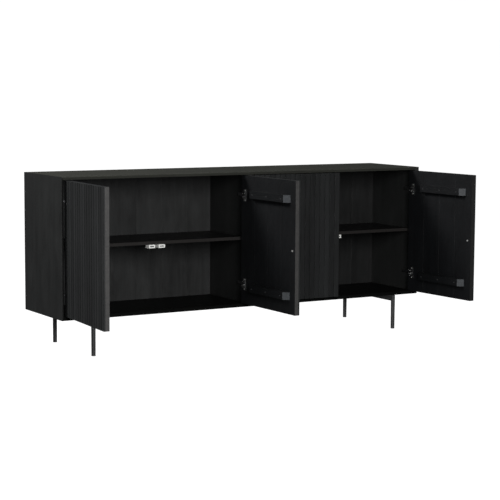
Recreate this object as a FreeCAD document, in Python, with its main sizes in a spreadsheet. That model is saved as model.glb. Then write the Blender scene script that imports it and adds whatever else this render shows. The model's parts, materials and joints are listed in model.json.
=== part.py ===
"""Sideboard buffet: a long low casing on four rod legs, with two bays, four inset doors and two shelves.

The origin is on the floor under the middle of the casing. +X runs to the right, +Y to the back and +Z up.
All sizes are in millimetres. The doors are drawn at their rest openings, given in degrees.
"""
import FreeCAD, Part
import os
import re

import Sketcher

Vector = FreeCAD.Vector

# Driving dimensions: every size that can be set by itself, written once.
SIZES = {
    # casing
    "width": 2000,
    "depth": 430,
    "casing_height": 656,
    "leg_height": 172,
    "panel": 15,
    "front_edge": 3,
    "bevel_depth": 12,
    "divider": 30,
    "divider_edge": 6,
    # back panels, held in grooves
    "back_setback": 45,
    "back_thickness": 10,
    "groove_depth": 6,
    "groove_clearance": 0.4,
    "back_boards": 7,
    # shelves on pins
    "shelf_thickness": 15,
    "shelf_top": 338,
    "shelf_setback": 45,
    "shelf_clearance": 1,
    "pin_radius": 2.5,
    "pin_length": 20,
    "pin_bore": 9,
    "pin_inset": 50,
    # doors
    "door_gap": 2.5,
    "meeting_gap": 3,
    "slat_thickness": 8,
    "board_thickness": 19,
    "slat_count": 17,
    "slat_groove": 1.4,
    "slat_chamfer": 2.2,
    "door_boards": 4,
    "joint_width": 1.2,
    "joint_depth": 0.5,
    "axis_in": 10,
    "axis_back": 6,
    "open_1": 94,
    "open_2": 90.5,
    "open_3": 2.5,
    "open_4": 93,
    # battens across the inside of each door
    "batten_height": 35,
    "batten_thickness": 26,
    "batten_start": 94,
    "batten_end": 44,
    "batten_inset": 68,
    "batten_bevel": 23,
    "batten_screw_spacing": 126,
    "batten_screw_radius": 2.2,
    "batten_head_radius": 4,
    "batten_head_height": 2.6,
    "batten_head_sink": 4,
    "batten_screw_bite": 12,
    # hinges
    "hinge_inset": 95,
    "cup_radius": 17.5,
    "cup_depth": 12,
    "cup_wall": 1.5,
    "cup_edge": 5,
    "cup_flange_width": 20,
    "cup_flange_height": 57,
    "cup_flange_thickness": 1.5,
    "cup_flange_offset": 9.5,
    "cup_screw_spacing": 46,
    "hinge_pin_radius": 1.5,
    "knuckle_radius": 3.2,
    "knuckle_height": 9,
    "knuckle_clearance": 0.5,
    "cheek_thickness": 3,
    "neck_width": 4,
    "arm_elbow": 6,
    "slot_clearance": 0.8,
    "arm_front": 32,
    "arm_length": 56,
    "arm_height": 14,
    "arm_thickness": 11,
    "plate_length": 26,
    "plate_height": 52,
    "plate_thickness": 2.5,
    "plate_screw_spacing": 38,
    # catches and strikers
    "catch_length": 33,
    "catch_depth": 34,
    "catch_height": 16,
    "catch_offset": 26,
    "catch_gap": 0.5,
    "catch_screw_spacing": 26,
    "catch_screw_back": 27,
    "magnet_length": 20,
    "magnet_depth": 8,
    "magnet_height": 5,
    "striker_radius": 4.5,
    "striker_thickness": 2,
    "striker_stem_radius": 1.6,
    "striker_stem": 10,
    # small screws of the hinges and catches
    "screw_radius": 1.75,
    "screw_head_radius": 3.4,
    "screw_head_height": 1.8,
    "screw_length": 11,
    # legs and the bars that join them
    "leg_inset": 154,
    "leg_outset": 4,
    "leg_radius": 10.5,
    "leg_toe_radius": 9.7,
    "bar_height": 30,
    "bar_web": 6,
    "bar_flange": 28,
    "bar_flange_thickness": 4,
    "bar_screws": 4,
    "bar_screw_inset": 84,
    "bar_screw_spacing": 90,
    "bar_screw_radius": 2.25,
    "bar_head_radius": 4.5,
    "bar_head_height": 2.5,
    "bar_screw_bite": 11,
    "glide_height": 4,
    "glide_stem_radius": 4,
    "glide_stem": 14,
    # clearances
    "bore_clearance": 0.05,
}

# Distances below this many millimetres are taken as none at all.
NO_DISTANCE = 1e-9
CUBIC_MM_PER_CUBIC_CM = 1000

ALIAS = re.compile(r"\b(" + "|".join(sorted(SIZES, key=len, reverse=True)) + r")\b")

# Sizes worked out from the driving ones, as formulas of the sheet.
BAY = "((width - 2 * panel - divider) / 2)"
INNER_HEIGHT = "(casing_height - 2 * panel)"
DIVIDER_BEVEL = "((divider - divider_edge) / 2)"
FRONT = "(-depth / 2)"
DOOR_WIDTH = f"(({BAY} - 2 * door_gap - meeting_gap) / 2)"
DOOR_HEIGHT = f"({INNER_HEIGHT} - 2 * door_gap)"
DOOR_THICKNESS = "(slat_thickness + board_thickness)"
DOOR_BOTTOM = "(leg_height + panel + door_gap)"
SLAT_PITCH = f"(({DOOR_WIDTH} + slat_groove) / slat_count)"
SLAT_WIDTH = f"({SLAT_PITCH} - slat_groove)"
BATTEN_LENGTH = f"({DOOR_WIDTH} - batten_start - batten_end)"
HINGE_SPACING = f"({DOOR_HEIGHT} - 2 * hinge_inset)"
CUP_CENTRE = "(cup_edge + cup_radius)"
FLANGE_CENTRE = f"({CUP_CENTRE} + cup_flange_offset)"
CHEEK_GAP = "(knuckle_height + 2 * knuckle_clearance)"
CHEEK_HEIGHT = f"({CHEEK_GAP} + 2 * cheek_thickness)"
SLOT_REACH = "(axis_in + knuckle_radius + slot_clearance + cheek_thickness / 2)"
SLOT_FLOOR = "(axis_back - knuckle_radius - slot_clearance)"
CATCH_FRONT = f"({DOOR_THICKNESS} + striker_thickness + catch_gap)"
SHELF_BOTTOM = "(shelf_top - shelf_thickness)"
STRIKER_FROM_EDGE = "(catch_offset - meeting_gap / 2)"
STRIKER_Z = f"({SHELF_BOTTOM} - catch_height / 2 - panel - door_gap)"
PIN_Z = f"({SHELF_BOTTOM} - pin_radius)"
BACK_FACE = "(depth - back_setback)"
GROOVE_WIDTH = "(back_thickness + 2 * groove_clearance)"
BACK_REACH = "(groove_depth - groove_clearance)"
LEG_X = "(width / 2 - leg_inset)"
LEG_Y = "(depth / 2 + leg_outset)"

doc = FreeCAD.newDocument("Sideboard")
sheet = doc.addObject("Spreadsheet::Sheet", "Size")
pieces = {}


def fill_sheet():
    """Write each driving dimension beside its name, and alias its cell."""
    for row, (name, number) in enumerate(SIZES.items(), start=1):
        sheet.set(f"A{row}", name)
        sheet.set(f"B{row}", str(number))
        sheet.setAlias(f"B{row}", name)
    doc.recompute()


def formula(text):
    """Turn a formula of size names into an expression on the sheet's cells."""
    return ALIAS.sub(r"Size.\1", text)


def value(text):
    """The number that a formula of size names gives."""
    return float(sheet.evalExpression(formula(text)))


def bind(item, **formulas):
    """Bind properties of an object to formulas; a dot in a property's path is written as __."""
    for path, text in formulas.items():
        item.setExpression(path.replace("__", "."), formula(text))


def keep(name, item):
    """Register an object as the finished sub-part of this name."""
    item.Label = name
    pieces[name] = item
    return item


# ---------------------------------------------------------------- sketches and features


def new_sketch(body, role, name, offset="0"):
    """A sketch on one of the body's own origin planes, moved along that plane's normal."""
    sketch = body.newObject("Sketcher::SketchObject", name)
    plane = next(item for item in body.Origin.OriginFeatures if item.Role == role)
    sketch.AttachmentSupport = [(plane, "")]
    sketch.MapMode = "FlatFace"
    bind(sketch, AttachmentOffset__Base__z=offset)
    return sketch


def hold_point(sketch, geometry, point, x, y):
    """Fix one point of a sketch at two formulas, measured from the sketch's origin."""
    for kind, text, axis in (("DistanceX", x, -2), ("DistanceY", y, -1)):
        number = value(text)
        if abs(number) < NO_DISTANCE:
            sketch.addConstraint(Sketcher.Constraint("PointOnObject", geometry, point, axis))
            continue
        index = sketch.addConstraint(Sketcher.Constraint(kind, -1, 1, geometry, point, number))
        sketch.setExpression(f"Constraints[{index}]", formula(text))


def add_outline(sketch, corners):
    """A closed outline of straight lines through corners given as pairs of formulas."""
    spots = [Vector(value(x), value(y), 0) for x, y in corners]
    first = sketch.GeometryCount
    count = len(corners)
    for index in range(count):
        sketch.addGeometry(Part.LineSegment(spots[index], spots[(index + 1) % count]), False)
    for index in range(count):
        following = first + (index + 1) % count
        sketch.addConstraint(Sketcher.Constraint("Coincident", first + index, 2, following, 1))
    for index, (x, y) in enumerate(corners):
        hold_point(sketch, first + index, 1, x, y)


def add_circle(sketch, x, y, radius):
    """A circle at a centre and radius given as formulas."""
    centre = Vector(value(x), value(y), 0)
    index = sketch.addGeometry(Part.Circle(centre, Vector(0, 0, 1), value(radius)), False)
    datum = sketch.addConstraint(Sketcher.Constraint("Radius", index, value(radius)))
    sketch.setExpression(f"Constraints[{datum}]", formula(radius))
    hold_point(sketch, index, 3, x, y)


def rectangle(x_low, y_low, x_high, y_high):
    """The four corners of a rectangle."""
    return [(x_low, y_low), (x_high, y_low), (x_high, y_high), (x_low, y_high)]


def new_body(name):
    """A PartDesign body that is a sub-part of its own."""
    return keep(name, doc.addObject("PartDesign::Body", name))


def pad(body, sketch, length, backwards=False):
    """Extrude a sketch; backwards extrudes it against its plane's normal."""
    feature = body.newObject("PartDesign::Pad", "Pad")
    feature.Profile = sketch
    feature.Reversed = backwards
    bind(feature, Length=length)
    doc.recompute()
    return feature


def pocket(body, sketch, depth=None, backwards=False):
    """Cut a sketch into the body, right through it when no depth is given, and prove that it cut."""
    before = body.Shape.Volume
    feature = body.newObject("PartDesign::Pocket", "Pocket")
    feature.Profile = sketch
    feature.Reversed = backwards
    if depth is None:
        feature.Type = "ThroughAll"
    else:
        bind(feature, Length=depth)
    doc.recompute()
    if not body.Shape.Volume < before:
        raise RuntimeError(f"{body.Label}: {sketch.Label} cuts nothing")
    return feature


def line_up(body, feature, length, count):
    """Repeat a feature along X over a length, count times in all."""
    pattern = body.newObject("PartDesign::LinearPattern", "Row")
    pattern.Originals = [feature]
    pattern.Direction = (feature.Profile[0], ["H_Axis"])
    bind(pattern, Length=length, Occurrences=count)
    body.Tip = pattern
    doc.recompute()
    return pattern


def place(item, x, y, z):
    """Put an object's own origin at a point of the casing's frame."""
    bind(item, Placement__Base__x=x, Placement__Base__y=y, Placement__Base__z=z)


# ---------------------------------------------------------------- primitives


def box(x, y, z, length, width, height):
    """A box between its low corner and its three sizes."""
    item = doc.addObject("Part::Box", "Box")
    bind(item, Length=length, Width=width, Height=height)
    place(item, x, y, z)
    return item


def cylinder(x, y, z, radius, height, toward="+Z"):
    """A cylinder that starts at a point and runs toward an axis direction."""
    item = doc.addObject("Part::Cylinder", "Cylinder")
    bind(item, Radius=radius, Height=height)
    turns = {
        "+Z": FreeCAD.Rotation(),
        "+Y": FreeCAD.Rotation(Vector(1, 0, 0), -90),
        "-Y": FreeCAD.Rotation(Vector(1, 0, 0), 90),
        "+X": FreeCAD.Rotation(Vector(0, 1, 0), 90),
        "-X": FreeCAD.Rotation(Vector(0, 1, 0), -90),
    }
    item.Placement = FreeCAD.Placement(Vector(), turns[toward])
    place(item, x, y, z)
    return item


def fuse(*items):
    """One solid from several."""
    item = doc.addObject("Part::MultiFuse", "Fuse")
    item.Shapes = list(items)
    return item


def cut(base, *tools):
    """A solid with others taken out of it."""
    item = doc.addObject("Part::Cut", "Cut")
    item.Base = base
    item.Tool = tools[0] if len(tools) == 1 else fuse(*tools)
    return item


def group(name, items):
    """Separate solids that share one sub-part."""
    item = doc.addObject("Part::Compound", name)
    item.Links = items
    return keep(name, item)


def screw(x, y, z, shank, length, head, head_height, toward):
    """A screw whose head's underside is at a point and whose shank runs toward a direction."""
    opposite = {"+Z": "-Z", "+X": "-X", "-X": "+X", "-Y": "+Y", "+Y": "-Y"}[toward]
    shaft = cylinder(x, y, z, shank, length, toward)
    if opposite == "-Z":
        cap = cylinder(x, y, f"({z}) - {head_height}", head, head_height)
    else:
        cap = cylinder(x, y, z, head, head_height, opposite)
    return fuse(shaft, cap)


# ---------------------------------------------------------------- casing


def groove_low():
    """Where a back panel's groove starts, measured from the front of the casing."""
    return f"({BACK_FACE} - groove_clearance)"


def flat_panel(name, outer_up):
    """The top or bottom of the casing: bevelled in along the front, mitred at both ends and grooved."""
    body = new_body(name)

    def height(from_outer):
        return f"(panel - ({from_outer}))" if outer_up else from_outer

    outline = new_sketch(body, "YZ_Plane", "Section")
    add_outline(outline, [("0", height("0")), ("0", height("front_edge")), ("bevel_depth", height("panel")),
                          ("depth", height("panel")), ("depth", height("0"))])
    pad(body, outline, "width")
    inner = height("panel")
    outer = height("0")
    mitres = new_sketch(body, "XZ_Plane", "Mitres")
    add_outline(mitres, [("0", outer), ("panel", inner), ("0", inner)])
    add_outline(mitres, [("width", outer), ("width", inner), ("width - panel", inner)])
    pocket(body, mitres)
    bottom = "0" if outer_up else "(panel - groove_depth)"
    top = "groove_depth" if outer_up else "panel"
    groove = new_sketch(body, "XZ_Plane", "Groove", f"-{groove_low()}")
    reach = "(panel - groove_depth)"
    add_outline(groove, rectangle(reach, bottom, f"(width - {reach})", top))
    pocket(body, groove, GROOVE_WIDTH)
    place(body, "-width / 2", FRONT, "leg_height" if not outer_up else "leg_height + casing_height - panel")
    return body


def bottom_screw_bores(body):
    """Blind holes in the underside for the screws of the leg bars."""
    bores = new_sketch(body, "XY_Plane", "Bar_bores")
    for side in (-1, 1):
        for y in bar_screw_rows():
            add_circle(bores, f"width / 2 + {side} * {bar_screw_x()}", f"depth / 2 + {y}",
                       "bar_screw_radius + bore_clearance")
    pocket(body, bores, "bar_screw_bite + bore_clearance", backwards=True)


def upright_bores(body, face, toward_low, bays):
    """Blind holes in an upright's face for the shelf pins and the screws of the hinge plates."""
    pins = new_sketch(body, "YZ_Plane", "Pin_bores", face)
    for y in pin_rows():
        add_circle(pins, y, f"{PIN_Z} - ({bays})", "pin_radius + bore_clearance")
    pocket(body, pins, "pin_bore", backwards=not toward_low)
    screws = new_sketch(body, "YZ_Plane", "Plate_bores", face)
    for z in plate_screw_heights():
        add_circle(screws, "arm_front + plate_length / 2", f"{z} - leg_height - ({bays})",
                   "screw_radius + bore_clearance")
    pocket(body, screws, "screw_length - plate_thickness + bore_clearance", backwards=not toward_low)


def side_panel(name, mirrored):
    """A side of the casing: bevelled in along the front, mitred at both ends, grooved and bored."""
    body = new_body(name)

    def across(from_outer):
        return f"(panel - ({from_outer}))" if mirrored else from_outer

    plan = new_sketch(body, "XY_Plane", "Section")
    add_outline(plan, [(across("0"), "0"), (across("front_edge"), "0"), (across("panel"), "bevel_depth"),
                       (across("panel"), "depth"), (across("0"), "depth")])
    pad(body, plan, "casing_height")
    mitres = new_sketch(body, "XZ_Plane", "Mitres")
    outer = across("0")
    inner = across("panel")
    add_outline(mitres, [(outer, "0"), (inner, "0"), (inner, "panel")])
    add_outline(mitres, [(outer, "casing_height"), (inner, "casing_height"),
                         (inner, "casing_height - panel")])
    pocket(body, mitres)
    low = "0" if mirrored else "(panel - groove_depth)"
    high = "groove_depth" if mirrored else "panel"
    groove = new_sketch(body, "XZ_Plane", "Groove", f"-{groove_low()}")
    reach = "(panel - groove_depth)"
    add_outline(groove, rectangle(low, reach, high, f"(casing_height - {reach})"))
    pocket(body, groove, GROOVE_WIDTH)
    upright_bores(body, inner, not mirrored, "0")
    place(body, "width / 2 - panel" if mirrored else "-width / 2", FRONT, "leg_height")


def centre_divider():
    """The upright between the bays, bevelled on both sides of its front and grooved on both faces."""
    body = new_body("centre_divider")
    plan = new_sketch(body, "XY_Plane", "Section")
    add_outline(plan, [(DIVIDER_BEVEL, "0"), (f"divider - {DIVIDER_BEVEL}", "0"), ("divider", "bevel_depth"),
                       ("divider", "depth"), ("0", "depth"), ("0", "bevel_depth")])
    pad(body, plan, INNER_HEIGHT)
    groove = new_sketch(body, "XZ_Plane", "Grooves", f"-{groove_low()}")
    add_outline(groove, rectangle("0", "0", "groove_depth", INNER_HEIGHT))
    add_outline(groove, rectangle("divider - groove_depth", "0", "divider", INNER_HEIGHT))
    pocket(body, groove, GROOVE_WIDTH)
    upright_bores(body, "divider", True, "panel")
    upright_bores(body, "0", False, "panel")
    place(body, "-divider / 2", FRONT, "leg_height + panel")


def bay_left(side):
    """The left face of a bay: side -1 is the left bay and +1 the right one."""
    return "(-width / 2 + panel)" if side < 0 else "(divider / 2)"


def back_panel(name, side):
    """A back of vertical boards, held in grooves on all four edges."""
    body = new_body(name)
    wide = f"({BAY} + 2 * {BACK_REACH})"
    plan = new_sketch(body, "XY_Plane", "Section")
    add_outline(plan, rectangle("0", "0", wide, "back_thickness"))
    pad(body, plan, f"{INNER_HEIGHT} + 2 * {BACK_REACH}")
    joint = new_sketch(body, "XY_Plane", "Joint")
    pitch = f"({wide} / back_boards)"
    add_outline(joint, [(f"{pitch} - joint_width / 2", "0"), (f"{pitch} + joint_width / 2", "0"),
                        (pitch, "joint_depth")])
    first = pocket(body, joint, backwards=True)
    line_up(body, first, f"{wide} - 2 * {pitch}", "back_boards - 1")
    place(body, f"{bay_left(side)} - {BACK_REACH}", f"{FRONT} + {BACK_FACE}",
          f"leg_height + panel - {BACK_REACH}")


def pin_rows():
    """The shelf pins' distances from the front of the casing."""
    return ["(shelf_setback + pin_inset)", f"({BACK_FACE} - pin_inset)"]


def shelf(name, side):
    """A shelf that rests on four pins, with holes for the screws of its two catches."""
    body = new_body(name)
    wide = f"({BAY} - 2 * shelf_clearance)"
    plan = new_sketch(body, "XY_Plane", "Section")
    add_outline(plan, rectangle("0", "0", wide, f"({BACK_FACE} - shelf_setback - shelf_clearance)"))
    pad(body, plan, "shelf_thickness")
    bores = new_sketch(body, "XY_Plane", "Catch_bores")
    for which in (-1, 1):
        for end in (-1, 1):
            add_circle(bores, f"{wide} / 2 + {which} * catch_offset + {end} * catch_screw_spacing / 2",
                       f"{CATCH_FRONT} + catch_screw_back - shelf_setback", "screw_radius + bore_clearance")
    pocket(body, bores, "screw_length + bore_clearance", backwards=True)
    place(body, f"{bay_left(side)} + shelf_clearance", f"{FRONT} + shelf_setback",
          f"leg_height + {SHELF_BOTTOM}")


def shelf_pins():
    """Four pins for each shelf, part in the upright's bore and part under the shelf."""
    pins = []
    height = f"leg_height + {PIN_Z}"
    for side in (-1, 1):
        for y in pin_rows():
            left = f"{bay_left(side)} - pin_bore"
            right = f"{bay_left(side)} + {BAY} + pin_bore - pin_length"
            for x in (left, right):
                pins.append(cylinder(x, f"{FRONT} + {y}", height, "pin_radius", "pin_length", "+X"))
    group("shelf_pins", pins)


# ---------------------------------------------------------------- doors


class Door:
    """A door: its number, the side it is hinged on, its left edge and its hinge axis when closed."""

    def __init__(self, number, bay, hinge):
        self.name = f"door_{number}"
        self.bay = bay
        self.hinge = hinge
        step = "0" if hinge < 0 else f"{DOOR_WIDTH} + meeting_gap"
        self.left = f"({bay_left(bay)} + door_gap + {step})"
        self.axis_x = f"({self.left} + {self.along('axis_in')})"
        self.axis_y = f"({FRONT} + axis_back)"
        self.turn = f"({hinge} * open_{number})"
        self.upright_face = bay_left(bay) if hinge < 0 else f"({bay_left(bay)} + {BAY})"

    def along(self, from_hinge):
        """A distance from the hinged edge, as a distance from the door's left edge."""
        return f"({from_hinge})" if self.hinge < 0 else f"({DOOR_WIDTH} - ({from_hinge}))"

    def low_end(self, start, end):
        """The left end of a stretch that starts and ends at distances from the hinged and free edges."""
        return start if self.hinge < 0 else end

    def mount(self, item, x="0", y="0", z="0"):
        """Put an object's origin at a point of the closed door, then swing it to the rest opening."""
        angle = f"{self.turn} * 1 deg"
        across = f"({self.left} + ({x}) - {self.axis_x})"
        back = f"({FRONT} + ({y}) - {self.axis_y})"
        item.Placement = FreeCAD.Placement(Vector(), FreeCAD.Rotation(Vector(0, 0, 1), value(self.turn)))
        place(item, f"{self.axis_x} + {across} * cos({angle}) - {back} * sin({angle})",
              f"{self.axis_y} + {across} * sin({angle}) + {back} * cos({angle})", f"{DOOR_BOTTOM} + {z}")


DOORS = [Door(1, -1, -1), Door(2, -1, 1), Door(3, 1, -1), Door(4, 1, 1)]


def batten_heights():
    """The lower edges of a door's two battens, measured from the door's bottom."""
    return {"lower": "batten_inset", "upper": f"({DOOR_HEIGHT} - batten_inset - batten_height)"}


def batten_screw_places():
    """The screws' distances from a batten's left end."""
    return [f"({BATTEN_LENGTH} / 2 + {step} * batten_screw_spacing)" for step in (-1, 0, 1)]


def hinge_heights():
    """The hinges' centres, measured from the door's bottom."""
    return ["hinge_inset", f"(hinge_inset + {HINGE_SPACING})"]


def plate_screw_heights():
    """The heights above the floor of the screws of the hinge plates."""
    return [f"({DOOR_BOTTOM} + {z} + {end} * plate_screw_spacing / 2)"
            for z in hinge_heights() for end in (-1, 1)]


def door_board(door):
    """The board that the slats are glued to: four staves, with a fine joint line between them inside."""
    body = new_body(f"{door.name}_board")
    plan = new_sketch(body, "XY_Plane", "Section")
    add_outline(plan, rectangle("0", "0", DOOR_WIDTH, "board_thickness"))
    pad(body, plan, DOOR_HEIGHT)
    joint = new_sketch(body, "XY_Plane", "Joint")
    pitch = f"({DOOR_WIDTH} / door_boards)"
    add_outline(joint, [(f"{pitch} - joint_width / 2", "board_thickness"),
                        (f"{pitch} + joint_width / 2", "board_thickness"),
                        (pitch, "board_thickness - joint_depth")])
    first = pocket(body, joint, backwards=True)
    line_up(body, first, f"{DOOR_WIDTH} - 2 * {pitch}", "door_boards - 1")

    def inside_bores(name, centres, radius, depth):
        bores = new_sketch(body, "XZ_Plane", name, "-board_thickness")
        for x, z in centres:
            add_circle(bores, x, z, f"{radius} + bore_clearance")
        pocket(body, bores, depth, backwards=True)

    start = door.low_end("batten_start", "batten_end")
    batten_spots = [(f"{start} + {x}", f"{z} + batten_height / 2")
                    for x in batten_screw_places() for z in batten_heights().values()]
    cup_x = door.along(CUP_CENTRE)
    flange_x = door.along(FLANGE_CENTRE)
    cups = [(cup_x, z) for z in hinge_heights()]
    cup_screws = [(flange_x, f"{z} + {end} * cup_screw_spacing / 2")
                  for z in hinge_heights() for end in (-1, 1)]
    striker_x = door.along(f"{DOOR_WIDTH} - {STRIKER_FROM_EDGE}")
    inside_bores("Batten_bores", batten_spots, "batten_screw_radius", "batten_screw_bite + bore_clearance")
    inside_bores("Cup_bores", cups, "cup_radius", "cup_depth + bore_clearance")
    inside_bores("Cup_screw_bores", cup_screws, "screw_radius",
                 "screw_length - cup_flange_thickness + bore_clearance")
    inside_bores("Striker_bore", [(striker_x, STRIKER_Z)], "striker_stem_radius",
                 "striker_stem + bore_clearance")
    hinge_slots(door, body, "board_thickness", None)
    door.mount(body, y="slat_thickness")


def hinge_slots(door, body, face, depth):
    """Slots at the hinged edge that let each hinge's neck and knuckle swing, cut from an inside face."""
    slots = new_sketch(body, "XZ_Plane", "Hinge_slots", f"-{face}")
    low, high = sorted((door.along("0"), door.along(SLOT_REACH)), key=value)
    half = f"({CHEEK_HEIGHT} / 2 + bore_clearance)"
    for z in hinge_heights():
        add_outline(slots, rectangle(low, f"{z} - {half}", high, f"{z} + {half}"))
    pocket(body, slots, depth, backwards=True)


def door_slats(door):
    """The row of narrow upright slats that faces the door, each a separate strip with eased edges."""
    body = new_body(f"{door.name}_slats")
    body.AllowCompound = True
    plan = new_sketch(body, "XY_Plane", "Section")
    add_outline(plan, [("slat_chamfer", "0"), (f"{SLAT_WIDTH} - slat_chamfer", "0"),
                       (SLAT_WIDTH, "slat_chamfer"), (SLAT_WIDTH, "slat_thickness"),
                       ("0", "slat_thickness"), ("0", "slat_chamfer")])
    first = pad(body, plan, DOOR_HEIGHT)
    line_up(body, first, f"{DOOR_WIDTH} - {SLAT_WIDTH}", "slat_count")
    hinge_slots(door, body, "slat_thickness", f"slat_thickness - {SLOT_FLOOR}")
    door.mount(body)


def door_batten(door, which, low_edge):
    """A batten across the inside of a door, cut back at both ends and bored for three sunk screws."""
    body = new_body(f"{door.name}_{which}_batten")
    lip = "(batten_thickness - batten_bevel)"
    plan = new_sketch(body, "XY_Plane", "Section")
    add_outline(plan, [("0", "0"), (BATTEN_LENGTH, "0"), (BATTEN_LENGTH, lip),
                       (f"{BATTEN_LENGTH} - batten_bevel", "batten_thickness"),
                       ("batten_bevel", "batten_thickness"), ("0", lip)])
    pad(body, plan, "batten_height")
    shanks = new_sketch(body, "XZ_Plane", "Shanks")
    heads = new_sketch(body, "XZ_Plane", "Heads", "-batten_thickness")
    for x in batten_screw_places():
        add_circle(shanks, x, "batten_height / 2", "batten_screw_radius + bore_clearance")
        add_circle(heads, x, "batten_height / 2", "batten_head_radius + bore_clearance")
    pocket(body, shanks)
    pocket(body, heads, "batten_head_sink", backwards=True)
    door.mount(body, x=door.low_end("batten_start", "batten_end"), y=DOOR_THICKNESS, z=low_edge)


def door_batten_screws(door):
    """Six screws that hold a door's battens, their heads sunk below the battens' faces."""
    start = door.low_end("batten_start", "batten_end")
    seat = f"{DOOR_THICKNESS} + batten_thickness - batten_head_sink"
    length = "batten_thickness - batten_head_sink + batten_screw_bite"
    screws = [screw(f"{start} + {x}", seat, f"{z} + batten_height / 2", "batten_screw_radius", length,
                    "batten_head_radius", "batten_head_height", "-Y")
              for z in batten_heights().values() for x in batten_screw_places()]
    door.mount(group(f"{door.name}_batten_screws", screws))


def door_hinge_cups(door):
    """The cups of a door's two hinges, let into the board, each with a flange and two cheeks for its pin."""
    x = door.along(CUP_CENTRE)
    flange_x = door.along(FLANGE_CENTRE)
    axis_x = door.along("axis_in")
    floor = f"({DOOR_THICKNESS} - cup_depth)"
    rim = "(cup_depth + cup_flange_thickness)"
    half = "(knuckle_radius + cheek_thickness / 2)"
    slot_start = door.low_end("0", f"({DOOR_WIDTH} - {SLOT_REACH})")
    cups = []
    for z in hinge_heights():
        shell = cylinder(x, floor, z, "cup_radius", rim, "+Y")
        flange = box(f"{flange_x} - cup_flange_width / 2", DOOR_THICKNESS, f"{z} - cup_flange_height / 2",
                     "cup_flange_width", "cup_flange_thickness", "cup_flange_height")
        hollow = cylinder(x, f"{floor} + cup_wall", z, "cup_radius - cup_wall", rim, "+Y")
        bores = [cylinder(flange_x, DOOR_THICKNESS, f"{z} + {end} * cup_screw_spacing / 2",
                          "screw_radius + bore_clearance", "cup_flange_thickness", "+Y") for end in (-1, 1)]
        opening = box(slot_start, SLOT_FLOOR, f"{z} - {CHEEK_GAP} / 2", SLOT_REACH,
                      f"{DOOR_THICKNESS} + cup_depth", CHEEK_GAP)
        cheeks = [box(f"{axis_x} - {half}", "axis_back - knuckle_radius", low, f"2 * {half}",
                      f"{floor} + cup_wall - (axis_back - knuckle_radius)", "cheek_thickness")
                  for low in (f"{z} - {CHEEK_HEIGHT} / 2", f"{z} + {CHEEK_GAP} / 2")]
        eye = cylinder(axis_x, "axis_back", f"{z} - {CHEEK_HEIGHT} / 2", "hinge_pin_radius + bore_clearance",
                       CHEEK_HEIGHT)
        cups.append(cut(fuse(cut(fuse(shell, flange), hollow), *cheeks), opening, eye, *bores))
    door.mount(group(f"{door.name}_hinge_cups", cups))


def door_hinge_pins(door):
    """The pins that a door's two hinges turn on, held by the cups' cheeks."""
    pins = [cylinder(door.along("axis_in"), "axis_back", f"{z} - {CHEEK_HEIGHT} / 2", "hinge_pin_radius",
                     CHEEK_HEIGHT) for z in hinge_heights()]
    door.mount(group(f"{door.name}_hinge_pins", pins))


def door_cup_screws(door):
    """Two small screws through each cup's flange."""
    x = door.along(FLANGE_CENTRE)
    seat = f"{DOOR_THICKNESS} + cup_flange_thickness"
    screws = [screw(x, seat, f"{z} + {end} * cup_screw_spacing / 2", "screw_radius", "screw_length",
                    "screw_head_radius", "screw_head_height", "-Y")
              for z in hinge_heights() for end in (-1, 1)]
    door.mount(group(f"{door.name}_cup_screws", screws))


def door_striker(door):
    """The disc that the catch holds, on a stem driven into the door."""
    x = door.along(f"{DOOR_WIDTH} - {STRIKER_FROM_EDGE}")
    disc = cylinder(x, DOOR_THICKNESS, STRIKER_Z, "striker_radius", "striker_thickness", "+Y")
    stem = cylinder(x, DOOR_THICKNESS, STRIKER_Z, "striker_stem_radius", "striker_stem", "-Y")
    item = keep(f"{door.name}_striker", fuse(disc, stem))
    door.mount(item)


def into_bay(door, reach):
    """The low X of something that stands a distance out of the upright into the bay."""
    return door.upright_face if door.hinge < 0 else f"({door.upright_face} - {reach})"


def door_hinge_arms(door):
    """The arms of a door's two hinges: a plate on the upright and a neck that ends in the pin's knuckle."""
    arms = []
    y = f"({FRONT} + arm_front)"
    start = into_bay(door, "plate_thickness")
    elbow = f"({door.hinge} * ({door.upright_face} - {door.axis_x}) + neck_width / 2)"
    for z in hinge_heights():
        centre = f"({DOOR_BOTTOM} + {z})"
        low = f"{centre} - knuckle_height / 2"
        plate = box(start, y, f"{centre} - plate_height / 2", "plate_thickness", "plate_length",
                    "plate_height")
        arm = box(into_bay(door, "arm_thickness"), y, f"{centre} - arm_height / 2", "arm_thickness",
                  "arm_length", "arm_height")
        across = box(into_bay(door, elbow), y, low, elbow, "arm_elbow", "knuckle_height")
        neck = box(f"{door.axis_x} - neck_width / 2", door.axis_y, low, "neck_width",
                   f"{y} + arm_elbow - {door.axis_y}", "knuckle_height")
        knuckle = cylinder(door.axis_x, door.axis_y, low, "knuckle_radius", "knuckle_height")
        eye = cylinder(door.axis_x, door.axis_y, low, "hinge_pin_radius + bore_clearance", "knuckle_height")
        bores = [cylinder(start, f"{y} + plate_length / 2", f"{centre} + {end} * plate_screw_spacing / 2",
                          "screw_radius + bore_clearance", "plate_thickness", "+X") for end in (-1, 1)]
        arms.append(cut(fuse(plate, arm, across, neck, knuckle), eye, *bores))
    return arms


def door_plate_screws(door):
    """The screws of a door's two hinge plates."""
    toward = "-X" if door.hinge < 0 else "+X"
    seat = f"{door.upright_face} + {-door.hinge} * plate_thickness"
    y = f"{FRONT} + arm_front + plate_length / 2"
    return [screw(seat, y, z, "screw_radius", "screw_length", "screw_head_radius", "screw_head_height",
                  toward) for z in plate_screw_heights()]


def catch_centre(door):
    """The X of a door's catch, beside the line where its bay's doors meet."""
    return f"({bay_left(door.bay)} + {BAY} / 2 + {door.hinge} * catch_offset)"


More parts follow.
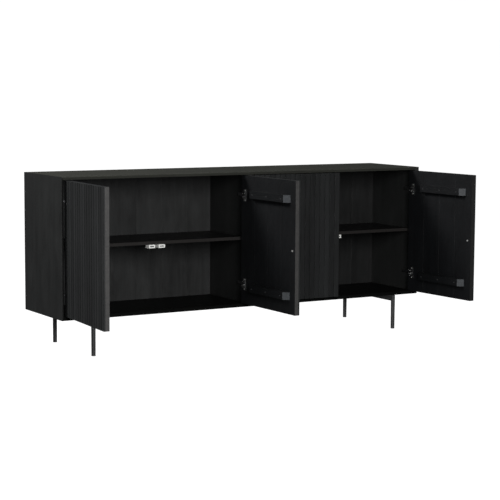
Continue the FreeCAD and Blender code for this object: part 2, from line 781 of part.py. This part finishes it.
def door_catch(door):
    """The plastic housing of a magnetic catch under the shelf, open at the front for its magnet."""
    x = catch_centre(door)
    y = f"{FRONT} + {CATCH_FRONT}"
    z = f"leg_height + {SHELF_BOTTOM} - catch_height"
    housing = box(f"{x} - catch_length / 2", y, z, "catch_length", "catch_depth", "catch_height")
    nest_z = f"{z} + (catch_height - magnet_height) / 2 - bore_clearance"
    nest = box(f"{x} - magnet_length / 2 - bore_clearance", y, nest_z, "magnet_length + 2 * bore_clearance",
               "magnet_depth + bore_clearance", "magnet_height + 2 * bore_clearance")
    bores = [cylinder(f"{x} + {end} * catch_screw_spacing / 2", f"{y} + catch_screw_back", z,
                      "screw_radius + bore_clearance", "catch_height") for end in (-1, 1)]
    return cut(housing, nest, *bores)


def door_magnet(door):
    """The magnet of a catch, flush with the front of its housing."""
    z = f"leg_height + {SHELF_BOTTOM} - (catch_height + magnet_height) / 2"
    return box(f"{catch_centre(door)} - magnet_length / 2", f"{FRONT} + {CATCH_FRONT}", z, "magnet_length",
               "magnet_depth", "magnet_height")


def door_catch_screws(door):
    """Two screws that go up through a catch's housing into the shelf."""
    z = f"leg_height + {SHELF_BOTTOM} - catch_height"
    y = f"{FRONT} + {CATCH_FRONT} + catch_screw_back"
    return [screw(f"{catch_centre(door)} + {end} * catch_screw_spacing / 2", y, z, "screw_radius",
                  "catch_height + screw_length", "screw_head_radius", "screw_head_height", "+Z")
            for end in (-1, 1)]


# ---------------------------------------------------------------- legs


def bar_screw_rows():
    """The bar screws' distances from the middle of the casing: half are set out from each end of the bar."""
    half = int(value("bar_screws / 2"))
    rows = [f"({LEG_Y} - bar_screw_inset - {step} * bar_screw_spacing)" for step in range(half)]
    return rows + [f"(-{row})" for row in rows]


def bar_screw_x():
    """The bar screws' distance from the middle of the casing, side to side."""
    return f"({LEG_X} - (bar_flange + bar_web / 2) / 2)"


def leg_bar(name, side):
    """An angle bar that joins two legs: its web on edge between them, its flange under the casing."""
    body = new_body(name)
    length = f"(2 * {LEG_Y})"
    section = new_sketch(body, "XZ_Plane", "Section")
    add_outline(section, [("0", "0"), ("bar_web", "0"), ("bar_web", "bar_height - bar_flange_thickness"),
                          ("bar_flange", "bar_height - bar_flange_thickness"), ("bar_flange", "bar_height"),
                          ("0", "bar_height")])
    pad(body, section, length, backwards=True)
    ends = new_sketch(body, "XY_Plane", "Leg_ends")
    for y in ("0", length):
        add_circle(ends, "bar_web / 2", y, "leg_radius + bore_clearance")
    pocket(body, ends, backwards=True)
    bores = new_sketch(body, "XY_Plane", "Screw_bores")
    for y in bar_screw_rows():
        add_circle(bores, "bar_web / 2 + (bar_flange + bar_web / 2) / 2", f"{LEG_Y} + {y}",
                   "bar_screw_radius + bore_clearance")
    pocket(body, bores, backwards=True)
    body.Placement = FreeCAD.Placement(Vector(), FreeCAD.Rotation(Vector(0, 0, 1), 180 if side > 0 else 0))
    place(body, f"{side} * ({LEG_X} + bar_web / 2)", f"{side} * {LEG_Y}", "leg_height - bar_height")


def leg(name, side, end):
    """A round rod leg, straight beside the bar and slightly tapered below it, bored for its glide."""
    body = new_body(name)
    half = new_sketch(body, "XZ_Plane", "Half_section")
    bore = "(glide_stem_radius + bore_clearance)"
    bore_top = "(glide_height + glide_stem + bore_clearance)"
    add_outline(half, [(bore, "glide_height"), ("leg_toe_radius", "glide_height"),
                       ("leg_radius", "leg_height - bar_height"), ("leg_radius", "leg_height"),
                       ("0", "leg_height"), ("0", bore_top), (bore, bore_top)])
    turned = body.newObject("PartDesign::Revolution", "Turned")
    turned.Profile = half
    turned.ReferenceAxis = (half, ["V_Axis"])
    turned.Angle = 360
    doc.recompute()
    place(body, f"{side} * {LEG_X}", f"{end} * {LEG_Y}", "0")


def foot_glides():
    """Four plastic glides, each with a stem pressed up into its leg."""
    glides = []
    for side in (-1, 1):
        for end in (-1, 1):
            x = f"{side} * {LEG_X}"
            y = f"{end} * {LEG_Y}"
            disc = cylinder(x, y, "0", "leg_toe_radius", "glide_height")
            stem = cylinder(x, y, "glide_height", "glide_stem_radius", "glide_stem")
            glides.append(fuse(disc, stem))
    group("foot_glides", glides)


def leg_bar_screws():
    """The screws that hold both leg bars up to the underside of the casing."""
    screws = [screw(f"{side} * {bar_screw_x()}", y, "leg_height - bar_flange_thickness", "bar_screw_radius",
                    "bar_flange_thickness + bar_screw_bite", "bar_head_radius", "bar_head_height", "+Z")
              for side in (-1, 1) for y in bar_screw_rows()]
    group("leg_bar_screws", screws)


# ---------------------------------------------------------------- the whole sideboard


def build():
    """Make every sub-part."""
    fill_sheet()
    flat_panel("top_panel", outer_up=True)
    bottom_screw_bores(flat_panel("bottom_panel", outer_up=False))
    side_panel("left_side_panel", mirrored=False)
    side_panel("right_side_panel", mirrored=True)
    centre_divider()
    for name, side in (("left", -1), ("right", 1)):
        back_panel(f"{name}_back_panel", side)
        shelf(f"{name}_shelf", side)
        leg_bar(f"{name}_leg_bar", side)
        leg(f"front_{name}_leg", side, -1)
        leg(f"back_{name}_leg", side, 1)
    shelf_pins()
    foot_glides()
    leg_bar_screws()
    for door in DOORS:
        door_board(door)
        door_slats(door)
        for which, low_edge in batten_heights().items():
            door_batten(door, which, low_edge)
        door_batten_screws(door)
        door_hinge_cups(door)
        door_hinge_pins(door)
        door_cup_screws(door)
        door_striker(door)
    for name, doors in (("left", DOORS[:2]), ("right", DOORS[2:])):
        group(f"{name}_hinge_arms", [arm for door in doors for arm in door_hinge_arms(door)])
        group(f"{name}_catches", [door_catch(door) for door in doors])
    group("catch_magnets", [door_magnet(door) for door in DOORS])
    group("casing_screws", [item for door in DOORS
                            for item in door_plate_screws(door) + door_catch_screws(door)])
    doc.recompute()


def check():
    """Stop if any object failed to build or any sub-part is not a sound solid."""
    for item in doc.Objects:
        if "Invalid" in item.State or "Error" in item.State:
            raise RuntimeError(f"{item.Label} failed: {item.State}")
    for name, item in pieces.items():
        if item.Shape.isNull() or not item.Shape.isValid() or not item.Shape.Solids:
            raise RuntimeError(f"{name} has no sound solid")


def export():
    """Write each sub-part to a file of its own."""
    os.makedirs("parts", exist_ok=True)
    for name, item in pieces.items():
        item.Shape.exportStep(f"parts/{name}.step")
        volume = item.Shape.Volume / CUBIC_MM_PER_CUBIC_CM
        print(f"{name}: {len(item.Shape.Solids)} solid(s), {volume:.1f} cm3")


build()
check()
export()
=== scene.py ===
import json
import math

import bmesh
import bpy
from mathutils import Matrix, Vector


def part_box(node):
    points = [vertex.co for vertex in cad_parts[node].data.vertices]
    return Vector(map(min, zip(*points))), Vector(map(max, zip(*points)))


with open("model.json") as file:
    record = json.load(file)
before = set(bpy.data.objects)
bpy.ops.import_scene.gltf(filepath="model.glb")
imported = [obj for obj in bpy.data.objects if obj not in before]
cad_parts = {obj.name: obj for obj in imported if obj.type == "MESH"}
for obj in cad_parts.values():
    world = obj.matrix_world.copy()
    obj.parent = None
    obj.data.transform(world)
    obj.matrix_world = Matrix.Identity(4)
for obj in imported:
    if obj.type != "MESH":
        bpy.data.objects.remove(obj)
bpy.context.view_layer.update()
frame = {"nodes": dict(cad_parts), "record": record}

DOORS = ("door_1", "door_2", "door_3", "door_4")
JOINTS = {joint["child"]: joint for joint in frame["record"]["behaviour"]["joints"]}

X_AXIS = Vector((1.0, 0.0, 0.0))
Y_AXIS = Vector((0.0, 1.0, 0.0))
Z_AXIS = Vector((0.0, 0.0, 1.0))
NODES = frame["nodes"]

# sizes that the wood's patterns follow, in metres, and how many boards make up a back and a door
BOARD_WIDTH = 0.481
SLAT_COUNT = 17
SLAT_GROOVE = 0.0014
SLAT_PITCH = (BOARD_WIDTH + SLAT_GROOVE) / SLAT_COUNT
BACK_BOARDS = 7
DOOR_STAVES = 4

# a door's hinged edge lies within this distance of the hinge axis, in metres
HINGE_REACH = 0.05

# layers of the wood's figure, as repeats per metre along the grain and across it
FIGURE = (2.2, 38.0)
FIBRES = (14.0, 620.0)
PORES = (60.0, 1500.0)
BLOTCHES = (5.0, 16.0)
BRUSHING = (90.0, 4200.0)

# a shift of the figure from one board to the next, in metres, so that no two boards match
BOARD_SHIFT = 3.71

# how pale each piece's stain is, and painted light: the two backs and the four doors are one stain, and
# their tones differ to stand for how the light falls on each. The right back is darker as painted shade
# behind the doors, and the doors' edge tones fall from left to right as painted falloff of the light
BACK_STAIN_AND_PAINTED_LIGHT = {"left": 0.018, "right": 0.011}
DOOR_STAIN_AND_PAINTED_LIGHT = {
    "door_1": {"slats": 0.015, "inside": 0.012, "edge": 0.062},
    "door_2": {"slats": 0.014, "inside": 0.005, "edge": 0.052},
    "door_3": {"slats": 0.011, "inside": 0.010, "edge": 0.030},
    "door_4": {"slats": 0.012, "inside": 0.005, "edge": 0.018},
}


# ---------------------------------------------------------------- shader building blocks


class Shader:
    """A node tree with short calls for the nodes that the materials below are made of."""

    def __init__(self, name):
        self.material = bpy.data.materials.new(name)
        self.material.use_nodes = True
        self.tree = self.material.node_tree
        self.surface = self.tree.nodes["Principled BSDF"]
        coordinates = self.tree.nodes.new("ShaderNodeTexCoord")
        self.place = coordinates.outputs["Object"]
        self.facing = coordinates.outputs["Normal"]

    def node(self, kind, **settings):
        made = self.tree.nodes.new(kind)
        for key, setting in settings.items():
            setattr(made, key, setting)
        return made

    def feed(self, socket, source):
        """Link a socket to a source, or set it to a plain value."""
        if isinstance(source, bpy.types.NodeSocket):
            self.tree.links.new(source, socket)
        else:
            socket.default_value = source

    def math(self, operation, *sources):
        made = self.node("ShaderNodeMath", operation=operation)
        for socket, source in zip(made.inputs, sources):
            self.feed(socket, source)
        return made.outputs[0]

    def along(self, direction):
        """The distance along a direction, in metres."""
        made = self.node("ShaderNodeVectorMath", operation="DOT_PRODUCT")
        self.feed(made.inputs[0], self.place)
        made.inputs[1].default_value = direction
        return made.outputs["Value"]

    def vector(self, x, y, z):
        made = self.node("ShaderNodeCombineXYZ")
        for socket, source in zip(made.inputs, (x, y, z)):
            self.feed(socket, source)
        return made.outputs[0]

    def drawn_out(self, length, width, depth, layer):
        """Coordinates in which a noise of scale 1 repeats as a layer says along the grain and across it."""
        along, across = layer
        return self.vector(self.math("MULTIPLY", length, along), self.math("MULTIPLY", width, across),
                           self.math("MULTIPLY", depth, across))

    def noise(self, where, scale, detail=3.0, roughness=0.55, distortion=0.0):
        made = self.node("ShaderNodeTexNoise")
        self.feed(made.inputs["Vector"], where)
        made.inputs["Scale"].default_value = scale
        made.inputs["Detail"].default_value = detail
        made.inputs["Roughness"].default_value = roughness
        made.inputs["Distortion"].default_value = distortion
        return made.outputs["Fac"]

    def span(self, source, low, high, to_low=0.0, to_high=1.0):
        made = self.node("ShaderNodeMapRange", clamp=True)
        for socket, setting in zip(made.inputs, (source, low, high, to_low, to_high)):
            self.feed(socket, setting)
        return made.outputs[0]

    def mix(self, factor, first, second):
        made = self.node("ShaderNodeMix", data_type="RGBA")
        self.feed(made.inputs[0], factor)
        self.feed(made.inputs[6], first)
        self.feed(made.inputs[7], second)
        return made.outputs[2]

    def edges(self, radius):
        """How near a point is to a worn edge, from 0 on a flat to 1 on an arris."""
        bevel = self.node("ShaderNodeBevel", samples=6)
        bevel.inputs["Radius"].default_value = radius
        geometry = self.node("ShaderNodeNewGeometry")
        dot = self.node("ShaderNodeVectorMath", operation="DOT_PRODUCT")
        self.feed(dot.inputs[0], bevel.outputs[0])
        self.feed(dot.inputs[1], geometry.outputs["Normal"])
        return self.span(dot.outputs["Value"], 0.995, 0.80)

    def bump(self, height, strength, distance):
        made = self.node("ShaderNodeBump")
        made.inputs["Strength"].default_value = strength
        made.inputs["Distance"].default_value = distance
        self.feed(made.inputs["Height"], height)
        self.feed(self.surface.inputs["Normal"], made.outputs[0])


def tone(grey, tint=(1.0, 1.0, 1.0)):
    """A linear colour from one brightness and a tint."""
    return (grey * tint[0], grey * tint[1], grey * tint[2], 1.0)


def stained_wood(name, grain, across, base, tint=(0.97, 1.0, 0.98), pitch=None, start=0.0, spread=0.3,
                 blotch=0.18, gloss=0.46, sheen=0.2, bare=None, edge_face_tone=0.0, edge_face_tint=(1.0, 0.97, 0.95),
                 bare_from=0.80):
    """Black-stained timber whose grain runs along one direction, with its own tone on each board of a pitch.

    The spread is how far the boards' tones differ, and the blotch how strong the clouds in the stain are.
    Faces that look along the bare direction are paler, partly as a sanded edge is where the stain has rubbed
    thin and partly as painted light: the doors' edge tones are set per door for how brightly the light falls
    on them, and the battens' bluish end tint stands for cool light.
    """
    shader = Shader(name)
    normal = Vector(grain).cross(Vector(across))
    length = shader.along(grain)
    width = shader.along(across)
    depth = shader.along(normal)
    board = 0.0
    if pitch:
        board = shader.math("FLOOR", shader.math("DIVIDE", shader.math("SUBTRACT", width, start), pitch))
    long = shader.math("ADD", length, shader.math("MULTIPLY", board, BOARD_SHIFT))
    figure = shader.noise(shader.drawn_out(long, width, depth, FIGURE), 1.0, 4.0, 0.6, 0.6)
    fibres = shader.noise(shader.drawn_out(long, width, depth, FIBRES), 1.0, 3.0, 0.65)
    pores = shader.noise(shader.drawn_out(long, width, depth, PORES), 1.0, 1.0)
    blotches = shader.noise(shader.drawn_out(long, width, depth, BLOTCHES), 1.0, 4.0, 0.55, 0.8)
    patches = shader.noise(shader.place, 3.3, 3.0, 0.6)
    open_pores = shader.span(pores, 0.60, 0.72)
    lift = shader.math("ADD", shader.span(figure, 0.30, 0.72, -0.22, 0.26),
                       shader.span(fibres, 0.3, 0.7, -0.14, 0.14))
    lift = shader.math("ADD", lift, shader.span(patches, 0.3, 0.7, -0.9 * blotch, 0.9 * blotch))
    lift = shader.math("ADD", lift, shader.span(blotches, 0.3, 0.7, -blotch, blotch))
    if pitch:
        own = shader.node("ShaderNodeTexWhiteNoise", noise_dimensions="1D")
        shader.feed(own.inputs["W"], shader.math("ADD", board, 0.37))
        lift = shader.math("ADD", lift, shader.span(own.outputs["Value"], 0.0, 1.0, -spread, spread))
    level = shader.span(lift, -1.0, 1.0)
    colour = shader.mix(level, tone(base * 0.25, tint), tone(base * 1.75, tint))
    colour = shader.mix(shader.math("MULTIPLY", open_pores, 0.55), colour, tone(base * 0.22, tint))
    if bare:
        facing = shader.node("ShaderNodeVectorMath", operation="DOT_PRODUCT")
        shader.feed(facing.inputs[0], shader.facing)
        facing.inputs[1].default_value = bare
        scuffs = shader.noise(shader.place, 95.0, 4.0, 0.7)
        edge_face_mask = shader.math("MULTIPLY", shader.span(shader.math("ABSOLUTE", facing.outputs["Value"]),
                                                     bare_from, bare_from + 0.1),
                             shader.span(scuffs, 0.25, 0.7, 0.55, 1.0))
        # the edge faces' colour: paler sanded wood, with painted light where the tone or tint is set for how
        # the light falls
        colour = shader.mix(edge_face_mask, colour, tone(edge_face_tone, edge_face_tint))
    wear = shader.math("MULTIPLY", shader.edges(0.0012), shader.span(patches, 0.35, 0.75, 0.1, 0.6))
    colour = shader.mix(wear, colour, tone(base * 2.0, (1.0, 0.95, 0.9)))
    shader.feed(shader.surface.inputs["Base Color"], colour)
    rough = shader.math("ADD", shader.span(fibres, 0.3, 0.7, gloss - 0.07, gloss + 0.09),
                        shader.math("MULTIPLY", open_pores, 0.2))
    shader.feed(shader.surface.inputs["Roughness"], rough)
    shader.surface.inputs["Specular IOR Level"].default_value = sheen
    relief = shader.math("SUBTRACT", shader.math("ADD", shader.math("MULTIPLY", figure, 0.35), fibres),
                         shader.math("MULTIPLY", open_pores, 0.9))
    shader.bump(relief, 0.35, 0.0006)
    return shader.material


def plated(name, colour, rough):
    """Plated or drawn metal with fine upright brushing, faint tarnish and brighter edges."""
    shader = Shader(name)
    brushing = shader.drawn_out(shader.along(Z_AXIS), shader.along(X_AXIS), shader.along(Y_AXIS), BRUSHING)
    lines = shader.noise(brushing, 1.0, 2.0, 0.6)
    stain = shader.noise(shader.place, 140.0, 4.0, 0.6)
    dull = tuple(part * 0.72 for part in colour) + (1.0,)
    shader.feed(shader.surface.inputs["Base Color"],
                shader.mix(shader.span(stain, 0.42, 0.72), tuple(colour) + (1.0,), dull))
    shader.surface.inputs["Metallic"].default_value = 1.0
    base = shader.span(stain, 0.3, 0.7, rough - 0.05, rough + 0.1)
    worn = shader.math("MULTIPLY", shader.edges(0.0004), -0.08)
    shader.feed(shader.surface.inputs["Roughness"], shader.math("ADD", base, worn))
    shader.bump(lines, 0.125, 0.0002)
    return shader.material


def coated(name, grey, rough, peel=0.3):
    """Powder coat: a fine orange peel, dust specks and a painted highlight along its edges."""
    shader = Shader(name)
    skin = shader.noise(shader.place, 900.0, 2.0, 0.5)
    cloud = shader.noise(shader.place, 14.0, 3.0, 0.6)
    specks = shader.span(shader.noise(shader.place, 2600.0, 0.0), 0.74, 0.8)
    colour = shader.mix(shader.span(cloud, 0.3, 0.7), tone(grey * 0.8), tone(grey * 1.25))
    colour = shader.mix(shader.math("MULTIPLY", specks, 0.25), colour, tone(grey * 4.0))
    # paler along the edges: a painted highlight
    colour = shader.mix(shader.math("MULTIPLY", shader.edges(0.0006), 0.4), colour, tone(grey * 2.4))
    shader.feed(shader.surface.inputs["Base Color"], colour)
    shader.feed(shader.surface.inputs["Roughness"], shader.span(cloud, 0.3, 0.7, rough - 0.05, rough + 0.07))
    shader.bump(skin, peel, 0.0002)
    return shader.material


def moulded(name, colour, rough):
    """Moulded plastic: faint mottling, a fine spark-eroded skin and a soft darkening along its edges."""
    shader = Shader(name)
    skin = shader.noise(shader.place, 3000.0, 2.0, 0.6)
    cloud = shader.noise(shader.place, 60.0, 3.0, 0.6)
    paler = tuple(colour) + (1.0,)
    darker = tuple(part * 0.86 for part in colour) + (1.0,)
    tinted = shader.mix(shader.span(cloud, 0.3, 0.7), darker, paler)
    # darker along the edges
    tinted = shader.mix(shader.math("MULTIPLY", shader.edges(0.0005), 0.35), tinted,
                        tuple(part * 0.7 for part in colour) + (1.0,))
    shader.feed(shader.surface.inputs["Base Color"], tinted)
    shader.feed(shader.surface.inputs["Roughness"], shader.span(cloud, 0.3, 0.7, rough - 0.04, rough + 0.08))
    shader.surface.inputs["Specular IOR Level"].default_value = 0.45
    shader.bump(skin, 0.15, 0.0001)
    return shader.material


# ---------------------------------------------------------------- dressing the CAD nodes


def dress(node, material, bevel=0.0, segments=2):
    """Give a CAD node its finish, and ease its sharp edges."""
    item = NODES[node]
    item.data.materials.clear()
    item.data.materials.append(material)
    for face in item.data.polygons:
        face.material_index = 0
    if bevel:
        eased = item.modifiers.new("Eased edges", "BEVEL")
        eased.width = bevel
        eased.segments = segments
        eased.limit_method = "ANGLE"
        eased.angle_limit = math.radians(35)
        eased.harden_normals = True


def casing_materials():
    """The casing's panels, each with the grain along its length."""
    # the top's pale tone is painted reflection of the pale surroundings at a grazing view, and the bottom's
    # very dark tone is painted shade on its up-facing front edge
    top = stained_wood("top_wood", X_AXIS, Y_AXIS, 0.044, tint=(1.0, 1.02, 0.88), blotch=0.05, gloss=0.6,
                       sheen=0.02)
    dress("top_panel", top, 0.0006)
    dress("bottom_panel", stained_wood("bottom_wood", X_AXIS, Y_AXIS, 0.004, sheen=0.05), 0.0006)
    dress("left_side_panel", stained_wood("left_side_wood", Z_AXIS, Y_AXIS, 0.012, blotch=0.34), 0.0006)
    dress("right_side_panel", stained_wood("right_side_wood", Z_AXIS, Y_AXIS, 0.014), 0.0006)
    dress("centre_divider", stained_wood("divider_wood", Z_AXIS, Y_AXIS, 0.012), 0.0006)
    for side in ("left", "right"):
        low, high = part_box(f"{side}_back_panel")
        pitch = (high[0] - low[0]) / BACK_BOARDS
        # the right back's darker tone is painted shade of the doors in front of it
        boards = stained_wood(f"{side}_back_wood", Z_AXIS, X_AXIS, BACK_STAIN_AND_PAINTED_LIGHT[side], tint=(0.98, 1.0, 1.0),
                              pitch=pitch, start=low[0], spread=0.10, blotch=0.30)
        dress(f"{side}_back_panel", boards)
        shelf = stained_wood(f"{side}_shelf_wood", X_AXIS, Y_AXIS, 0.007, tint=(1.0, 0.94, 0.96), sheen=0.12,
                             bare=Y_AXIS, edge_face_tone=0.018, edge_face_tint=(1.0, 0.9, 0.86))
        dress(f"{side}_shelf", shelf, 0.0008)


def door_frame(door):
    """A door's direction from its hinge to its free edge, and where its hinged edge lies along it.

    The vertex farthest from the hinge axis is a corner at the free edge. The corner of the hinged edge that
    is one board's width away is on the same face, and the line between the two gives the direction.
    """
    pivot = Vector(JOINTS[door]["pos_m"]).to_2d()
    spots = [(NODES[f"{door}_board"].matrix_world @ vertex.co).to_2d()
             for vertex in NODES[f"{door}_board"].data.vertices]
    far = max(spots, key=lambda spot: (spot - pivot).length)
    near = [spot for spot in spots if (spot - pivot).length < HINGE_REACH]
    along = min([far - spot for spot in near], key=lambda line: abs(line.length - BOARD_WIDTH))
    across = Vector((along.x, along.y, 0.0)).normalized()
    return across, min(spot.dot(across.to_2d()) for spot in spots)


def door_materials():
    """Each door's board, slats and battens, with the grain following the door at its rest opening."""
    for door in DOORS:
        across, edge = door_frame(door)
        # each door's tones are stain and painted light together: they differ from door to door to stand for
        # how brightly the light falls on it
        tones = DOOR_STAIN_AND_PAINTED_LIGHT[door]
        slats = stained_wood(f"{door}_slat_wood", Z_AXIS, across, tones["slats"], tint=(0.95, 1.0, 1.02),
                             pitch=SLAT_PITCH, start=edge, spread=0.48, sheen=0.24)
        dress(f"{door}_slats", slats, 0.0004)
        board = stained_wood(f"{door}_board_wood", Z_AXIS, across, tones["inside"], tint=(0.93, 1.0, 1.14),
                             pitch=BOARD_WIDTH / DOOR_STAVES, start=edge, spread=0.12, bare=across,
                             edge_face_tone=tones["edge"])
        dress(f"{door}_board", board, 0.0006)
        # the battens' bluish end tint is painted cool light on ends turned to the left and front
        batten = stained_wood(f"{door}_batten_wood", across, Z_AXIS, tones["inside"], tint=(0.93, 1.0, 1.14),
                              bare=across, edge_face_tone=0.055, edge_face_tint=(0.93, 1.0, 1.08), bare_from=0.6)
        for which in ("lower", "upper"):
            dress(f"{door}_{which}_batten", batten, 0.001, 3)


def fitting_materials():
    """Hinges, screws, catches, legs and feet."""
    nickel = plated("nickel", (0.40, 0.40, 0.40), 0.30)
    arm_metal = plated("arm_metal", (0.16, 0.16, 0.165), 0.34)
    steel = plated("drawn_steel", (0.55, 0.55, 0.54), 0.32)
    zinc = plated("zinc", (0.60, 0.60, 0.58), 0.36)
    bright = plated("striker_steel", (0.82, 0.82, 0.80), 0.5)
    dark = plated("magnet_face", (0.22, 0.22, 0.23), 0.42)
    black_screw = coated("black_oxide", 0.03, 0.4, 0.15)
    legs = coated("black_powder_coat", 0.030, 0.38)
    white = moulded("white_plastic", (0.78, 0.78, 0.75), 0.42)
    black = moulded("black_plastic", (0.020, 0.020, 0.020), 0.5)
    for door in DOORS:
        dress(f"{door}_hinge_cups", nickel, 0.0003)
        dress(f"{door}_hinge_pins", steel, 0.0003)
        dress(f"{door}_cup_screws", zinc, 0.0003)
        dress(f"{door}_batten_screws", black_screw, 0.0003)
        dress(f"{door}_striker", bright, 0.0004)
    for side in ("left", "right"):
        dress(f"{side}_hinge_arms", arm_metal, 0.0005)
        dress(f"{side}_catches", white, 0.0008)
        dress(f"{side}_leg_bar", legs, 0.0006)
        dress(f"front_{side}_leg", legs)
        dress(f"back_{side}_leg", legs)
    dress("catch_magnets", dark, 0.0003)
    dress("casing_screws", zinc, 0.0003)
    dress("shelf_pins", steel, 0.0003)
    dress("leg_bar_screws", black_screw, 0.0003)
    dress("foot_glides", black, 0.0008)


# ---------------------------------------------------------------- floor, light and camera


def plain_floor():
    """A wide pale floor that curves up behind the sideboard into a plain backdrop."""
    mesh = bpy.data.meshes.new("floor")
    form = bmesh.new()
    near, bend, rise, height = -14.0, 5.0, 3.0, 12.0
    left, right = -20.0, 24.0
    steps = 12
    profile = [(near, 0.0)]
    for step in range(steps + 1):
        angle = math.radians(90 * step / steps)
        profile.append((bend + rise * math.sin(angle), rise - rise * math.cos(angle)))
    profile.append((bend + rise, height))
    rows = [[form.verts.new((x, y, z)) for y, z in profile] for x in (left, right)]
    for index in range(len(profile) - 1):
        face = form.faces.new((rows[0][index], rows[1][index], rows[1][index + 1], rows[0][index + 1]))
        face.smooth = True
    form.to_mesh(mesh)
    form.free()
    floor = bpy.data.objects.new("floor", mesh)
    bpy.context.scene.collection.objects.link(floor)
    shader = Shader("pale_floor")
    shader.surface.inputs["Base Color"].default_value = (0.25, 0.25, 0.25, 1.0)
    shader.surface.inputs["Roughness"].default_value = 0.9
    shader.surface.inputs["Specular IOR Level"].default_value = 0.0
    shader.surface.inputs["Emission Color"].default_value = (1.0, 1.0, 1.0, 1.0)
    shader.surface.inputs["Emission Strength"].default_value = 0.97
    mesh.materials.append(shader.material)
    # the backdrop stays out of the wood's reflections, as a white card far behind the set would
    floor.visible_glossy = False
    floor.visible_diffuse = False


def soft_light(name, place, target, size, power):
    """A large square lamp that faces a point."""
    lamp = bpy.data.lights.new(name, "AREA")
    lamp.shape = "SQUARE"
    lamp.size = size
    lamp.energy = power
    item = bpy.data.objects.new(name, lamp)
    item.location = place
    item.rotation_euler = (Vector(target) - Vector(place)).to_track_quat("-Z", "Y").to_euler()
    bpy.context.scene.collection.objects.link(item)


def studio():
    """Dim pale surroundings, a broad lamp ahead on the left and another high behind on the left."""
    world = bpy.data.worlds.new("studio")
    bpy.context.scene.world = world
    world.use_nodes = True
    background = world.node_tree.nodes["Background"]
    background.inputs["Color"].default_value = (0.96, 0.98, 1.0, 1.0)
    background.inputs["Strength"].default_value = 0.13
    soft_light("front", (-1.9, -5.4, 1.8), (0.0, 0.0, 0.45), 1.8, 280.0)
    soft_light("back_left", (-3.6, 2.0, 3.9), (0.0, -0.3, 0.6), 1.6, 260.0)
    bpy.context.scene.view_settings.view_transform = "Standard"


def camera():
    """A long lens, well to the left of the sideboard and a little above its top."""
    place = Vector((-3.8589, -6.6821, 1.2593))
    turn, dip, roll = math.radians(30.767), math.radians(6.153), math.radians(0.335)
    forward = Vector((math.sin(turn) * math.cos(dip), math.cos(turn) * math.cos(dip), -math.sin(dip)))
    right = forward.cross(Z_AXIS).normalized()
    up = right.cross(forward)
    rolled_right = right * math.cos(roll) + up * math.sin(roll)
    rolled_up = up * math.cos(roll) - right * math.sin(roll)
    lens = bpy.data.cameras.new("camera")
    lens.sensor_width = 36.0
    lens.lens = 112.45
    lens.clip_end = 100.0
    item = bpy.data.objects.new("camera", lens)
    facing = Matrix((rolled_right, rolled_up, -forward)).transposed().to_4x4()
    item.matrix_world = Matrix.Translation(place) @ facing
    bpy.context.scene.collection.objects.link(item)
    bpy.context.scene.camera = item


camera()
casing_materials()
door_materials()
fitting_materials()
plain_floor()
studio()
